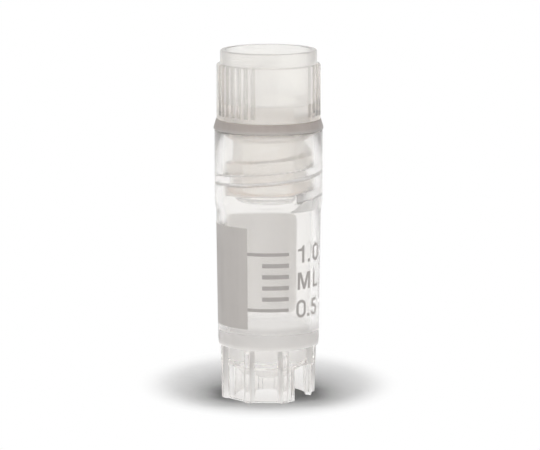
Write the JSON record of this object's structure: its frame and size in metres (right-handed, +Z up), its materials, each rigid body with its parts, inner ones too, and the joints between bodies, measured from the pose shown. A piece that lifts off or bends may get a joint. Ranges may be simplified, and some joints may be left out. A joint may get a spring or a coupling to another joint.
{
  "type": "cryovial",
  "caption": "Self-standing cryogenic vial with an inside thread: translucent graduated tube on a toothed skirt, silicone seal, and a ribbed screw cap with a hollow plug.",
  "frame": {"origin": "on the axis, at the level of the foot's rim", "axes": "+Z up along the tube's axis; -Y is the side with the graduation"},
  "size_m": [0.0128, 0.0128, 0.0405],
  "materials": {
    "tube_plastic": "natural polypropylene, translucent, satin",
    "cap_plastic": "natural polypropylene, translucent, satin",
    "seal_silicone": "translucent silicone rubber, matt"
  },
  "bodies": {
    "vial": {"tube": "tube_plastic"},
    "washer": {"seal": "seal_silicone"},
    "screw_cap": {"cap": "cap_plastic"}
  },
  "joints": [
    {"name": "cap_climb", "type": "slide", "parent": "vial", "child": "washer", "axis": [0, 0, 1], "range_m": [0, 0.00934]},
    {"name": "cap_turn", "type": "hinge", "parent": "washer", "child": "screw_cap", "pos_m": [0, 0, 0.0325], "axis": [0, 0, 1], "range_deg": [0, 1260]}
  ],
  "couplings": [
    {"joint": "cap_turn", "follows": "cap_climb", "rad_per_m": 2353.3}
  ]
}
